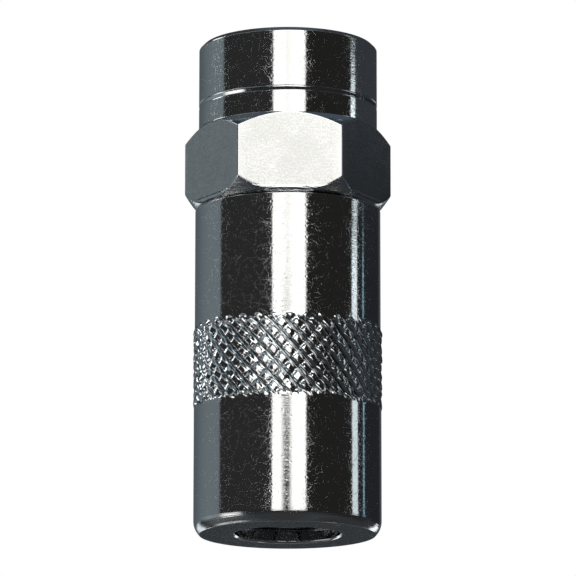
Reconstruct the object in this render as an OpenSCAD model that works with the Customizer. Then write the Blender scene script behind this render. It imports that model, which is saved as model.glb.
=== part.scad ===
// Hydraulic grease coupler: a knurled nose sleeve screwed on a hexagonal inlet body, with a
// four-jaw collet, a sprung seal piston and a ball check valve inside.
// The nose points down with its face at z = 0, and +Z runs along the axis to the inlet.
// Lengths are in millimetres and angles in degrees.

/* [Nose sleeve] */
// Length from the nose face to the top edge
sleeve_len = 27.25; // [25:0.05:31]
// Outer diameter below the knurl
sleeve_d = 15.62; // [14.8:0.02:16.6]
// Step by which the sleeve is thinner above the knurl, on the radius
upper_step = 0.05; // [0.02:0.01:0.12]
// Wall between the spring bore and the outside
sleeve_wall = 1.51; // [1.3:0.01:1.7]
// Radius of the rounding round the nose
nose_round_r = 1.57; // [1.3:0.01:2]
// Height at which that rounding meets the wall
nose_round_h = 1.14; // [0.8:0.01:1.25]
// Diameter of the mouth that goes over the nipple
mouth_d = 8.8; // [8.2:0.05:9.4]
// Length of the mouth's straight wall
mouth_wall = 1; // [0.8:0.05:1.6]
// Chamfer round the mouth
mouth_chamfer = 0.15; // [0.05:0.05:0.4]
// Angle of the jaw cone from the axis
cone_angle = 25; // [22:0.5:30]
// Chamfer round the sleeve's top edge, outside
sleeve_chamfer = 0.06; // [0.04:0.01:0.3]
// Chamfer at the start of the sleeve's thread
sleeve_lead = 0.4; // [0.2:0.05:0.6]

/* [Knurl] */
// Height of the knurl's lower end above the nose face
knurl_start = 10.4; // [6:0.1:13]
// Length of the knurled band
knurl_len = 6.85; // [4:0.05:9]
// Diamonds round the sleeve
knurl_count = 36; // [24:1:44]
// Half rows of diamonds along the band
knurl_rows = 9; // [5:1:11]
// Height of the diamonds above the sleeve
knurl_rise = 0.11; // [0.02:0.01:0.15]
// Depth of the knurl's grooves below the diamonds
knurl_depth = 0.34; // [0.2:0.01:0.45]
// Share of a diamond's width that is flat on top
knurl_flat = 0.45; // [0.3:0.05:0.6]

/* [Inlet body] */
// Hexagon across its flats
hex_af = 15; // [15:0.1:17]
// Height of the hexagon, from its underside to the collar
hex_h = 6.95; // [5.5:0.05:9]
// Diameter of the chamfer circle under the hexagon
hex_low_d = 15.54; // [14.6:0.02:16.6]
// Angle of that chamfer from the axis
hex_low_angle = 37; // [30:1:50]
// Diameter of the collar above the hexagon
collar_d = 14.98; // [13.5:0.02:14.98]
// Height of the collar
collar_h = 7.3; // [5.5:0.05:10]
// Chamfer round the collar's top
collar_chamfer = 0.35; // [0.2:0.05:0.8]
// Height of the turned groove above the hexagon
groove_pos = 2.15; // [1:0.05:3.5]
// Width of the turned groove
groove_w = 0.4; // [0.2:0.05:0.8]
// Depth of the turned groove
groove_depth = 0.2; // [0.1:0.05:0.4]
// Tapping diameter of the inlet thread
inlet_d = 9; // [8.2:0.05:9.6]
// Depth of the inlet thread
inlet_depth = 8.6; // [6.5:0.1:10]
// Chamfer at the inlet thread's mouth
inlet_chamfer = 0.6; // [0.3:0.05:0.9]
// Point angle of the drill that makes the inlet's floor
drill_angle = 118; // [90:1:140]
// Length of the threaded spigot that the sleeve screws on
thread_len = 5.85; // [4.5:0.05:7]
// Step from the spring bore out to the sleeve's thread, on the radius
thread_step = 0.3; // [0.2:0.01:0.4]
// Run-out of the sleeve's thread below the spigot
thread_runout = 0.6; // [0.3:0.05:1]
// Chamfer at the spigot's end
spigot_chamfer = 0.4; // [0.2:0.05:0.6]
// Width of the relief groove under the hexagon
relief_w = 0.8; // [0.4:0.05:1.2]
// Depth of the relief groove
relief_depth = 0.4; // [0.2:0.05:0.6]
// Wall of the guide tube
tube_wall = 1.25; // [1:0.01:1.4]
// Chamfer at the guide tube's end
tube_chamfer = 0.25; // [0.1:0.05:0.4]

/* [Jaws] */
// Length of a jaw
jaw_len = 8.35; // [7.6:0.05:9.5]
// Height of the jaws' lower ends above the mouth's wall
jaw_set = 0.2; // [0.1:0.05:0.6]
// Slot between two jaws
jaw_slot = 0.5; // [0.3:0.05:0.9]
// Diameter of the lip that grips under the nipple's head
lip_d = 5.1; // [4.6:0.05:5.6]
// Height of the lip
lip_h = 0.6; // [0.4:0.05:0.9]
// Height of the lead-in below the lip
lead_h = 0.8; // [0.5:0.05:1.2]
// Width of the lead-in below the lip, on the radius
lead_w = 1; // [0.6:0.05:1.2]
// Diameter of the pocket for the nipple's head
head_d = 7; // [6.8:0.05:7.6]
// Travel of a jaw along the cone
jaw_travel = 2; // [1.5:0.05:2.2]
// Chamfer round the jaws' tops
jaw_chamfer = 0.3; // [0.1:0.05:0.5]
// Wire of the ring that spreads the jaws
ring_wire = 0.7; // [0.5:0.05:0.8]
// Depth of that ring below the jaws' tops
ring_inset = 0.95; // [0.8:0.05:1.4]
// Opening of that ring
ring_opening = 60; // [30:5:120]

/* [Jaw spring] */
// Thickness of the thrust washer
washer_t = 0.9; // [0.6:0.05:1.2]
// Height of the washer's rim inside the spring
washer_rim = 0.6; // [0.3:0.05:0.8]
// Wire of the jaw spring
spring_wire = 1; // [0.8:0.02:1.1]
// Turns of the jaw spring
spring_turns = 6.5; // [5:0.5:7]

/* [Seal piston] */
// Length of the piston's head
piston_len = 4.4; // [3.8:0.05:5]
// Travel of the piston
piston_travel = 1.5; // [1:0.05:1.8]
// Step from the piston's head in to its stem, on the radius
piston_shoulder = 0.7; // [0.6:0.02:0.9]
// Diameter of the grease passage through the piston
grease_d = 1.8; // [1.2:0.05:2.2]
// Section of the piston's O-ring
o_ring_d = 0.82; // [0.6:0.01:1]
// Height of the O-ring above the piston's shoulder
o_ring_pos = 2; // [1:0.05:2.6]
// Thickness of the snap ring under the piston
snap_t = 0.5; // [0.4:0.05:0.7]
// Height of the snap ring above the guide tube's end
snap_inset = 0.6; // [0.4:0.05:1]
// Depth to which the snap ring sits in the tube's wall
snap_bite = 0.5; // [0.3:0.02:0.6]
// Opening of the snap ring
snap_opening = 40; // [20:5:90]
// Length of the seal cup
cup_len = 3.6; // [3:0.05:4.2]
// Wall of the seal cup
cup_wall = 1; // [0.7:0.02:1.2]
// Thickness of the cup's lip
cup_lip = 0.5; // [0.3:0.05:0.8]
// Width of the cup's lip, on the radius
cup_lip_w = 0.6; // [0.3:0.05:0.8]
// Thickness of the nipple seal
seal_t = 1.2; // [0.8:0.05:1.6]
// Depth of the seal's dished face
seal_dish = 0.3; // [0.1:0.05:0.5]
// Room for the nipple's head between the lip and the seal
head_room = 1.25; // [1:0.05:1.8]

/* [Check valve] */
// Diameter of the ball
ball_d = 4; // [3.4:0.05:4.4]
// Diameter of the ball's chamber
chamber_d = 4.9; // [4.6:0.05:5.2]
// Length of the ball's chamber
chamber_len = 5; // [4.5:0.05:5.8]
// Diameter of the passage above the ball
passage_d = 2.6; // [2:0.05:2.7]
// Wire of the check spring
check_wire = 0.4; // [0.3:0.02:0.5]
// Mean diameter of the check spring
check_mean_d = 3; // [2.6:0.05:3.2]
// Turns of the check spring
check_turns = 5.5; // [4:0.5:6.5]
// Depth of the check spring's seat in the piston
check_well = 0.8; // [0.4:0.05:1.2]

/* [Clearances] */
// Gap between the sleeve's top and the hexagon
seat_gap = 0.1; // [0.05:0.01:0.2]
// Gap between moving pieces that bear on each other
touch = 0.05; // [0.03:0.01:0.08]
// Gap between pieces that are put together for good
snug = 0.02; // [0.01:0.005:0.04]
// Running gap of the piston in its bore
slide_fit = 0.04; // [0.02:0.005:0.08]
// Gap between the sleeve's thread and the spigot
thread_fit = 0.05; // [0.03:0.01:0.1]
// Gap between the jaws and the cone, square to the cone
cone_fit = 0.06; // [0.04:0.01:0.1]
// Gap left round the open jaws
jaw_clear = 0.1; // [0.06:0.01:0.2]
// Gap between the jaw spring and its bore
bore_clear = 0.45; // [0.3:0.01:0.55]
// Gap between the jaw spring and the guide tube
tube_clear = 0.25; // [0.15:0.01:0.35]
// Gap between the thrust washer and its bore
washer_clear = 0.35; // [0.2:0.01:0.5]
// Gap round the seal cup
cup_clear = 0.2; // [0.1:0.01:0.3]
// Room left at the end of a travel
end_clear = 0.25; // [0.15:0.05:0.5]

/* [Hidden] */
$fn = 96;
// Overrun of a cut past the face that it opens
cut = 1;

// Radii, from the outside in
sleeve_r = sleeve_d / 2;
upper_r = sleeve_r - upper_step;
bore_r = sleeve_r - sleeve_wall;
thread_r = bore_r + thread_step;
spigot_r = thread_r - thread_fit;
relief_r = spigot_r - relief_depth;
spring_r = bore_r - bore_clear - spring_wire / 2;
spring_in_r = spring_r - spring_wire / 2;
tube_r = spring_in_r - tube_clear;
piston_bore_r = tube_r - tube_wall;
piston_r = piston_bore_r - slide_fit;
stem_r = piston_r - piston_shoulder;
mouth_r = mouth_d / 2;
lip_r = lip_d / 2;
head_r = head_d / 2;
cup_r = head_r - cup_clear;
cup_bore_r = cup_r - cup_wall;
stem_end_r = cup_bore_r - snug;
grease_r = grease_d / 2;
jaw_r = bore_r - jaw_travel * sin(cone_angle) - jaw_clear;
ring_r = head_r + ring_wire / 2 + touch;
collar_r = collar_d / 2;
inlet_r = inlet_d / 2;
passage_r = passage_d / 2;
chamber_r = chamber_d / 2;
ball_r = ball_d / 2;
check_r = check_mean_d / 2;
hex_corner_r = hex_af / 2 / cos(30);

// Heights of the sleeve and the jaws, from the nose up
cone_top_z = mouth_wall + (bore_r - mouth_r) / tan(cone_angle);
jaw_z = mouth_wall + jaw_set;
lip_top_z = jaw_z + lead_h + lip_h;
head_z = lip_top_z + head_r - lip_r;
jaw_top_z = jaw_z + jaw_len;
ring_z = jaw_top_z - ring_inset;
cup_z = head_z + head_room;
cup_top_z = cup_z + cup_len;
seal_z = cup_z + cup_lip;
stem_z = seal_z + seal_t;
washer_z = jaw_top_z + touch;
washer_top_z = washer_z + washer_t;
knurl_top = knurl_start + knurl_len;

// Heights of the inlet body
hex_z = sleeve_len + seat_gap;
hex_top_z = hex_z + hex_h;
top_z = hex_top_z + collar_h;
inlet_z = top_z - inlet_depth;
spigot_z = hex_z - thread_len;
thread_z = spigot_z - thread_runout;

// Heights of the seal piston and the check valve, each set by the piece below it
tube_z = washer_top_z + washer_rim + jaw_travel * cos(cone_angle) + end_clear;
snap_z = tube_z + snap_inset;
shoulder_z = snap_z + snap_t + touch;
piston_top_z = shoulder_z + piston_len;
o_ring_z = shoulder_z + o_ring_pos;
piston_bore_z = piston_top_z + piston_travel + end_clear;
chamber_z = piston_bore_z + chamber_len;
seat_z = chamber_z + chamber_r - passage_r;
ball_z = chamber_z + chamber_r - (ball_r + touch) * sqrt(2);
check_seat_z = piston_top_z - check_well;
check_ball_reach = ball_r + check_wire / 2 + touch;
check_top_z = ball_z - sqrt(pow(check_ball_reach, 2) - pow(check_r, 2));

// The knurl's ring sits in a recess of the sleeve and reaches into the walls round it
knurl_r = sleeve_r + knurl_rise;
knurl_groove_r = knurl_r - knurl_depth;
knurl_overlap = 0.2;
knurl_flush = 0.02;
knurl_floor_r = knurl_groove_r - knurl_overlap / 2;
knurl_in_r = knurl_floor_r - knurl_overlap;

// A point at radius r, angle a and height z
function polar(r, a, z) = [r * cos(a), r * sin(a), z];

// A four-cornered face as two triangles
function quad(a, b, c, d) = [[a, b, c], [a, c, d]];

// Diamond knurl: truncated pyramids between two crossing families of grooves, closed to a ring
// by an inner wall. Half diamonds at both ends run out into the smooth sleeve.
module knurl_ring() {
    n = knurl_count;
    rows = knurl_rows;
    step = 360 / n;
    row_h = knurl_len / rows;
    half_w = knurl_flat * step / 2;
    half_h = knurl_flat * row_h;
    // Angle of diamond i in row k, its height, and the radius of its flat top
    function mid_a(k, i) = (i + (k % 2 == 0 ? 0.5 : 0)) * step;
    function mid_z(k) = knurl_start + k * row_h;
    function flat_r(k) = k == 0 ? sleeve_r - knurl_flush : k == rows ? upper_r - knurl_flush : knurl_r;
    crossings = [
        for (k = [0:rows]) for (i = [0:n - 1]) polar(knurl_groove_r, mid_a(k + 1, i), mid_z(k))
    ];
    flats = [
        for (k = [0:rows]) for (i = [0:n - 1]) each [
            polar(flat_r(k), mid_a(k, i) - half_w, mid_z(k)),
            polar(flat_r(k), mid_a(k, i), mid_z(k) + (k == rows ? 0 : half_h)),
            polar(flat_r(k), mid_a(k, i) + half_w, mid_z(k)),
            polar(flat_r(k), mid_a(k, i), mid_z(k) - (k == 0 ? 0 : half_h))
        ]
    ];
    // Places of the points in the list: crossing i of row k, and corner q of diamond i in row k
    function at_cross(k, i) = k * n + (i + n) % n;
    function at_flat(k, i, q) = (rows + 1) * n + 4 * (k * n + (i + n) % n) + q;
    function at_left(k, i) = at_cross(k, i - k % 2);
    function at_right(k, i) = at_cross(k, i + 1 - k % 2);
    upper_sides = [
        for (k = [0:rows - 1]) for (i = [0:n - 1]) each concat(
            quad(at_left(k, i), at_cross(k + 1, i), at_flat(k, i, 1), at_flat(k, i, 0)),
            quad(at_cross(k + 1, i), at_right(k, i), at_flat(k, i, 2), at_flat(k, i, 1)),
            [[at_flat(k, i, 0), at_flat(k, i, 1), at_flat(k, i, 2)]]
        )
    ];
    lower_sides = [
        for (k = [1:rows]) for (i = [0:n - 1]) each concat(
            quad(at_right(k, i), at_cross(k - 1, i), at_flat(k, i, 3), at_flat(k, i, 2)),
            quad(at_cross(k - 1, i), at_left(k, i), at_flat(k, i, 0), at_flat(k, i, 3)),
            [[at_flat(k, i, 0), at_flat(k, i, 2), at_flat(k, i, 3)]]
        )
    ];
    // The rim at each end, its copy inside the sleeve's wall, and the inner wall's edge
    rim_len = 3 * n;
    function rim(k) = [
        for (i = [0:n - 1]) each [at_left(k, i), at_flat(k, i, 0), at_flat(k, i, 2)]
    ];
    outer = concat(crossings, flats);
    low_rim = rim(0);
    top_rim = rim(rows);
    low_z = knurl_start - knurl_overlap;
    high_z = knurl_top + knurl_overlap;
    function lifted(rim, z) = [for (p = rim) [outer[p].x, outer[p].y, z]];
    function inner(rim, z) = [
        for (p = rim) let (r = norm([outer[p].x, outer[p].y])) [
            outer[p].x * knurl_in_r / r, outer[p].y * knurl_in_r / r, z
        ]
    ];
    at_rim = len(outer);
    // Strip between two closed rows of points, the upper row first
    function strip(above, below) = [
        for (m = [0:rim_len - 1]) let (next = (m + 1) % rim_len)
            each quad(above[m], above[next], below[next], below[m])
    ];
    function row_at(j) = [for (m = [0:rim_len - 1]) at_rim + j * rim_len + m];
    closing = concat(
        strip(low_rim, row_at(0)), strip(row_at(0), row_at(1)), strip(row_at(1), row_at(3)),
        strip(row_at(3), row_at(2)), strip(row_at(2), top_rim)
    );
    polyhedron(
        concat(
            outer, lifted(low_rim, low_z), inner(low_rim, low_z),
            lifted(top_rim, high_z), inner(top_rim, high_z)
        ),
        concat(upper_sides, lower_sides, closing)
    );
}

// Round wire wound on a cylinder from z = low to z = high, with a closed turn at each end
module coil(mean_r, wire, low, high, turns) {
    sides = 8;
    per_turn = 18;
    steps = turns * per_turn;
    span = high - low - wire;
    closed_pitch = 1.08 * wire;
    open_pitch = (span - 2 * closed_pitch) / (turns - 2);
    function climb(u) =
        u < 1 ? closed_pitch * u
        : u > turns - 1 ? span - closed_pitch * (turns - u)
        : closed_pitch + open_pitch * (u - 1);
    points = [
        for (i = [0:steps]) for (j = [0:sides - 1]) polar(
            mean_r + wire / 2 * cos(360 * j / sides),
            360 * i / per_turn,
            low + wire / 2 + climb(i / per_turn) + wire / 2 * sin(360 * j / sides)
        )
    ];
    skin = [
        for (i = [0:steps - 1]) for (j = [0:sides - 1]) let (next = (j + 1) % sides)
            each quad(i * sides + j, i * sides + next, (i + 1) * sides + next, (i + 1) * sides + j)
    ];
    start_cap = [for (j = [sides - 1:-1:0]) j];
    end_cap = [for (j = [0:sides - 1]) steps * sides + j];
    polyhedron(points, concat(skin, [start_cap, end_cap]));
}

// Half section of the sleeve's outside, with the rounded nose and the knurl's recess
module sleeve_outline() {
    intersection() {
        square([sleeve_r + cut, sleeve_len]);
        union() {
            translate([sleeve_r - nose_round_r, nose_round_h]) circle(r = nose_round_r);
            square([sleeve_r - nose_round_r, nose_round_h]);
            polygon([
                [0, nose_round_h],
                [sleeve_r, nose_round_h],
                [sleeve_r, knurl_start - knurl_overlap / 2],
                [knurl_floor_r, knurl_start - knurl_overlap / 2],
                [knurl_floor_r, knurl_top + knurl_overlap / 2],
                [upper_r, knurl_top + knurl_overlap / 2],
                [upper_r, sleeve_len - sleeve_chamfer],
                [upper_r - sleeve_chamfer, sleeve_len],
                [0, sleeve_len]
            ]);
        }
    }
}

// Half section of the sleeve's inside: mouth, jaw cone, spring bore and thread
module sleeve_hollow() {
    polygon([
        [0, -cut],
        [mouth_r + mouth_chamfer + cut, -cut],
        [mouth_r, mouth_chamfer],
        [mouth_r, mouth_wall],
        [bore_r, cone_top_z],
        [bore_r, thread_z],
        [thread_r, thread_z],
        [thread_r, sleeve_len - sleeve_lead],
        [thread_r + sleeve_lead + cut, sleeve_len + cut],
        [0, sleeve_len + cut]
    ]);
}

module nose_sleeve() {
    color("silver") {
        rotate_extrude() difference() {
            sleeve_outline();
            sleeve_hollow();
        }
        knurl_ring();
    }
}

// Half section of the hexagon's double chamfer
module hex_chamfers() {
    hex_low_r = hex_low_d / 2;
    wide_r = hex_corner_r + cut;
    polygon([
        [0, hex_z],
        [hex_low_r, hex_z],
        [wide_r, hex_z + (wide_r - hex_low_r) / tan(hex_low_angle)],
        [wide_r, hex_top_z - wide_r + collar_r],
        [collar_r - cut, hex_top_z + cut],
        [0, hex_top_z + cut]
    ]);
}

// Half section of the turned outside: guide tube, spigot, core of the hexagon and collar
module inlet_outline() {
    groove_z = hex_top_z + groove_pos;
    polygon([
        [0, tube_z],
        [tube_r - tube_chamfer, tube_z],
        [tube_r, tube_z + tube_chamfer],
        [tube_r, spigot_z],
        [spigot_r - spigot_chamfer, spigot_z],
        [spigot_r, spigot_z + spigot_chamfer],
        [spigot_r, hex_z - relief_w],
        [relief_r, hex_z - relief_w],
        [relief_r, hex_z + hex_h / 2],
        [collar_r, hex_z + hex_h / 2],
        [collar_r, groove_z - groove_w / 2],
        [collar_r - groove_depth, groove_z - groove_w / 2],
        [collar_r - groove_depth, groove_z + groove_w / 2],
        [collar_r, groove_z + groove_w / 2],
        [collar_r, top_z - collar_chamfer],
        [collar_r - collar_chamfer, top_z],
        [0, top_z]
    ]);
}

// Half section of the way through: inlet thread, passage, ball seat and piston bore
module inlet_hollow() {
    floor_h = (inlet_r - passage_r) / tan(drill_angle / 2);
    snap_groove_r = piston_bore_r + snap_bite + touch;
    polygon([
        [0, tube_z - cut],
        [piston_bore_r + tube_chamfer + cut, tube_z - cut],
        [piston_bore_r, tube_z + tube_chamfer],
        [piston_bore_r, snap_z - touch],
        [snap_groove_r, snap_z - touch],
        [snap_groove_r, snap_z + snap_t + touch],
        [piston_bore_r, snap_z + snap_t + touch],
        [piston_bore_r, piston_bore_z],
        [chamber_r, piston_bore_z],
        [chamber_r, chamber_z],
        [passage_r, seat_z],
        [passage_r, inlet_z - floor_h],
        [inlet_r, inlet_z],
        [inlet_r, top_z - inlet_chamfer],
        [inlet_r + inlet_chamfer + cut, top_z + cut],
        [0, top_z + cut]
    ]);
}

module inlet_body() {
    color("gainsboro") difference() {
        union() {
            intersection() {
                translate([0, 0, hex_z]) cylinder(h = hex_h + cut, r = hex_corner_r, $fn = 6);
                rotate_extrude() hex_chamfers();
            }
            rotate_extrude() inlet_outline();
        }
        rotate_extrude() inlet_hollow();
    }
}

// Half section of the jaws: cone outside, lead-in, lip, head pocket and ring groove inside
module jaw_section() {
    cone_inset = cone_fit / cos(cone_angle);
    foot_r = mouth_r + jaw_set * tan(cone_angle) - cone_inset;
    cone_end_z = jaw_z + (jaw_r - foot_r) / tan(cone_angle);
    groove_h = ring_wire + 2 * touch;
    groove_r = ring_r + ring_wire / 2 + touch;
    polygon([
        [lip_r + lead_w, jaw_z],
        [foot_r, jaw_z],
        [jaw_r, cone_end_z],
        [jaw_r, jaw_top_z - jaw_chamfer],
        [jaw_r - jaw_chamfer, jaw_top_z],
        [head_r, jaw_top_z],
        [head_r, ring_z + groove_h / 2],
        [groove_r, ring_z + groove_h / 2],
        [groove_r, ring_z - groove_h / 2],
        [head_r, ring_z - groove_h / 2],
        [head_r, head_z],
        [lip_r, lip_top_z],
        [lip_r, jaw_z + lead_h]
    ]);
}

// One quarter of the collet, turned to its place
module jaw(turn) {
    color("darkgray") rotate([0, 0, turn]) intersection() {
        rotate_extrude() jaw_section();
        rotate([0, 0, -45]) translate([jaw_slot / 2, jaw_slot / 2, jaw_z - cut])
            cube([bore_r, bore_r, jaw_len + 2 * cut]);
    }
}

module jaw_expander_ring() {
    color("dimgray") translate([0, 0, ring_z]) rotate([0, 0, 90 + ring_opening / 2])
        rotate_extrude(angle = 360 - ring_opening) translate([ring_r, 0]) circle(d = ring_wire);
}

module thrust_washer() {
    in_r = cup_r + end_clear;
    out_r = bore_r - washer_clear;
    rim_r = spring_in_r - touch;
    color("gray") rotate_extrude() polygon([
        [in_r, washer_z],
        [out_r, washer_z],
        [out_r, washer_top_z],
        [rim_r, washer_top_z],
        [rim_r, washer_top_z + washer_rim],
        [in_r, washer_top_z + washer_rim]
    ]);
}

module jaw_spring() {
    color("slategray") coil(spring_r, spring_wire, washer_top_z + touch, spigot_z - touch, spring_turns);
}

module seal_piston() {
    o_ring_root_r = piston_bore_r - o_ring_d - 2 * snug;
    o_ring_half = o_ring_d / 2 + touch;
    well_r = check_r + check_wire / 2 + touch;
    color("goldenrod") rotate_extrude() polygon([
        [grease_r, stem_z],
        [stem_end_r, stem_z],
        [stem_end_r, cup_top_z],
        [stem_r, cup_top_z],
        [stem_r, shoulder_z],
        [piston_r, shoulder_z],
        [piston_r, o_ring_z - o_ring_half],
        [o_ring_root_r, o_ring_z - o_ring_half],
        [o_ring_root_r, o_ring_z + o_ring_half],
        [piston_r, o_ring_z + o_ring_half],
        [piston_r, piston_top_z],
        [well_r, piston_top_z],
        [well_r, check_seat_z],
        [grease_r, check_seat_z]
    ]);
}

module piston_o_ring() {
    color("black") translate([0, 0, o_ring_z]) rotate_extrude()
        translate([piston_bore_r - snug - o_ring_d / 2, 0]) circle(d = o_ring_d);
}

module seal_cup() {
    color("gray") rotate_extrude() polygon([
        [cup_bore_r - cup_lip_w, cup_z],
        [cup_r, cup_z],
        [cup_r, cup_top_z - snug],
        [cup_bore_r, cup_top_z - snug],
        [cup_bore_r, seal_z],
        [cup_bore_r - cup_lip_w, seal_z]
    ]);
}

// The packing's face is dished towards its hole, so that it takes a domed nipple
module nipple_seal() {
    color("black") rotate_extrude() polygon([
        [grease_r, seal_z + seal_dish],
        [cup_bore_r - cup_lip_w, seal_z],
        [stem_end_r, seal_z],
        [stem_end_r, stem_z - snug],
        [grease_r, stem_z - snug]
    ]);
}

module piston_snap_ring() {
    color("dimgray") translate([0, 0, snap_z]) rotate([0, 0, 90 + snap_opening / 2])
        rotate_extrude(angle = 360 - snap_opening)
            translate([stem_r + end_clear, 0])
                square([piston_bore_r + snap_bite - stem_r - end_clear, snap_t]);
}

module check_ball() {
    color("lightsteelblue") translate([0, 0, ball_z]) sphere(r = ball_r);
}

module check_spring() {
    color("slategray")
        coil(check_r, check_wire, check_seat_z + touch, check_top_z + check_wire / 2, check_turns);
}

inlet_body();
nose_sleeve();
jaw(0);  // jaw_1
jaw(90);  // jaw_2
jaw(180);  // jaw_3
jaw(270);  // jaw_4
jaw_expander_ring();
thrust_washer();
jaw_spring();
seal_piston();
piston_o_ring();
seal_cup();
nipple_seal();
piston_snap_ring();
check_ball();
check_spring();
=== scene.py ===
import bpy
import math
import numpy as np
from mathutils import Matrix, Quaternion, Vector


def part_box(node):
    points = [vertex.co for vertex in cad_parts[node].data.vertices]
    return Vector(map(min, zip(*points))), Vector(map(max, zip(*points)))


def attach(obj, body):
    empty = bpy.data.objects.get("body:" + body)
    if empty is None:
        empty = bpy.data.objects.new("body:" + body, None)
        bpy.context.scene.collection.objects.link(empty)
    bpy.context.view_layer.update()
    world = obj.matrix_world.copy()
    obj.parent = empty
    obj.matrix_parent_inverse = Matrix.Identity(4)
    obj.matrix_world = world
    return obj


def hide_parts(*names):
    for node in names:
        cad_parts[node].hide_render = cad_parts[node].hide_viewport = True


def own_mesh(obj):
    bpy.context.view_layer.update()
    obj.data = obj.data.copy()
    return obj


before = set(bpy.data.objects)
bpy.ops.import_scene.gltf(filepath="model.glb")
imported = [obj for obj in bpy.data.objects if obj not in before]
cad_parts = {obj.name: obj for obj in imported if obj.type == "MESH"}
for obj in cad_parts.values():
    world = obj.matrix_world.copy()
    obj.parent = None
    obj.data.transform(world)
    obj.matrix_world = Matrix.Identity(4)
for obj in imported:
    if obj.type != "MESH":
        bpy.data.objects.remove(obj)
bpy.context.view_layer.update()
mm = 0.001


# Lowest and highest corner of a node, in millimetres
def nodeBox(node):
    low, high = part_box(node)
    return np.array(low) / mm, np.array(high) / mm


# Surfaces

# 0 below low, 1 above high, and an S curve between them
def smoothStep(value, low, high):
    t = np.clip((value - low) / (high - low), 0, 1)
    return t * t * (3 - 2 * t)


# 0 outside and 1 inside, with an S curve up over the first two limits and one down over the last two
def plateau(value, low, lowFull, highFull, high):
    return smoothStep(value, low, lowFull) * (1 - smoothStep(value, highFull, high))


# The smaller of two heights, with the crease between them rounded over a width
def smoothMin(a, b, width):
    share = np.clip(0.5 + 0.5 * (b - a) / width, 0, 1)
    return b + (a - b) * share - width * share * (1 - share)


# Corners without rounding along a straight wall
def straight(radius, heights):
    return [(radius, z, 0) for z in heights]


# A closed half section from corners (radius, height): each becomes an arc that meets both sides, with a
# point just past each end of it that keeps the shading of the sides flat. A third value sets a corner's own
# rounding, and a fourth its number of steps. An arc takes up no more than a share of its sides
def roundedSection(corners, edge=0, usualSteps=4, support=0.06, sideShare=0.42, supportShare=0.8):
    points = []
    for k, (radius, height, *own) in enumerate(corners):
        rounding, steps = own + [edge, usualSteps][len(own):]
        here = np.array((radius, height))
        if rounding <= 0:
            points.append(here)
            continue
        back = np.array(corners[k - 1][:2]) - here
        ahead = np.array(corners[(k + 1) % len(corners)][:2]) - here
        backLength, aheadLength = np.linalg.norm(back), np.linalg.norm(ahead)
        back, ahead = back / backLength, ahead / aheadLength
        halfAngle = 0.5 * np.arccos(np.clip(back @ ahead, -1, 1))
        run = min(rounding / np.tan(halfAngle), sideShare * backLength, sideShare * aheadLength)
        arcRadius = run * np.tan(halfAngle)
        middle = (back + ahead) / np.linalg.norm(back + ahead)
        centre = here + middle * arcRadius / np.sin(halfAngle)
        first, last = here + back * run - centre, here + ahead * run - centre
        startAngle = np.arctan2(first[1], first[0])
        turn = (np.arctan2(last[1], last[0]) - startAngle + np.pi) % (2 * np.pi) - np.pi
        angles = startAngle + turn * np.linspace(0, 1, steps + 1)
        arc = centre + arcRadius * np.stack([np.cos(angles), np.sin(angles)], -1)
        backSupport = run + min(support, supportShare * (0.5 * backLength - run))
        aheadSupport = run + min(support, supportShare * (0.5 * aheadLength - run))
        points += [here + back * backSupport, *arc, here + ahead * aheadSupport]
    return np.array(points)


# Corner indices of the cells of a grid of rows by columns, closed where it wraps. Where the columns of the
# last row have turned against those of the first, seamShift says by how many columns
def gridCells(rows, columns, wrapRows=True, wrapColumns=True, seamShift=0):
    row = np.arange(rows if wrapRows else rows - 1)[:, None]
    column = np.arange(columns if wrapColumns else columns - 1)[None, :]
    nextRow, nextColumn = (row + 1) % rows, (column + 1) % columns
    moved = np.where(row == rows - 1, seamShift, 0)
    corners = (
        row * columns + column,
        row * columns + nextColumn,
        nextRow * columns + (nextColumn + moved) % columns,
        nextRow * columns + (column + moved) % columns,
    )
    return np.stack(np.broadcast_arrays(*corners), -1).reshape(-1, 4)


# The two end faces of a grid whose columns don't close, with a corner to each row
def endFaces(rows, columns):
    return np.stack([np.arange(rows)[::-1] * columns, np.arange(rows) * columns + columns - 1])


# Depth of a thread at each height and angle, as a share of its full depth: a V groove that climbs one pitch
# to a turn, with a narrow flat along its crest and its root
def threadGroove(height, angle, pitch, flatShare=0.12):
    phase = (height / pitch - angle / (2 * np.pi)) % 1
    return np.clip((np.abs(2 * phase - 1) - flatShare) / (1 - 2 * flatShare), 0, 1)


# Points of a turned surface: x = r cos a, y = r sin a at each radius, height and angle of the grid
def turned(radius, height, angle):
    radius, height, angle = np.broadcast_arrays(radius, height, angle)
    return np.stack([radius * np.cos(angle), radius * np.sin(angle), height], -1).reshape(-1, 3)


# A mesh from points in millimetres and arrays of faces that all have the same number of corners in one array
def makeMesh(name, points, *faceSets):
    mesh = bpy.data.meshes.new(name)
    mesh.vertices.add(len(points))
    mesh.vertices.foreach_set("co", (points * mm).astype(np.float32).ravel())
    sizes = np.concatenate([np.full(len(faces), faces.shape[1]) for faces in faceSets])
    starts = np.concatenate([[0], np.cumsum(sizes)[:-1]])
    mesh.loops.add(int(sizes.sum()))
    mesh.loops.foreach_set("vertex_index", np.concatenate([f.ravel() for f in faceSets]).astype(np.int32))
    mesh.polygons.add(len(sizes))
    mesh.polygons.foreach_set("loop_start", starts.astype(np.int32))
    mesh.polygons.foreach_set("use_smooth", np.ones(len(sizes), bool))
    mesh.update(calc_edges=True)
    mesh.validate()
    return mesh


# A value from 0 to 1 at each point of a mesh, for its material to read
def paint(mesh, name, values):
    layer = mesh.attributes.new(name, "FLOAT", "POINT")
    layer.data.foreach_set("value", values.astype(np.float32).ravel())


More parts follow.
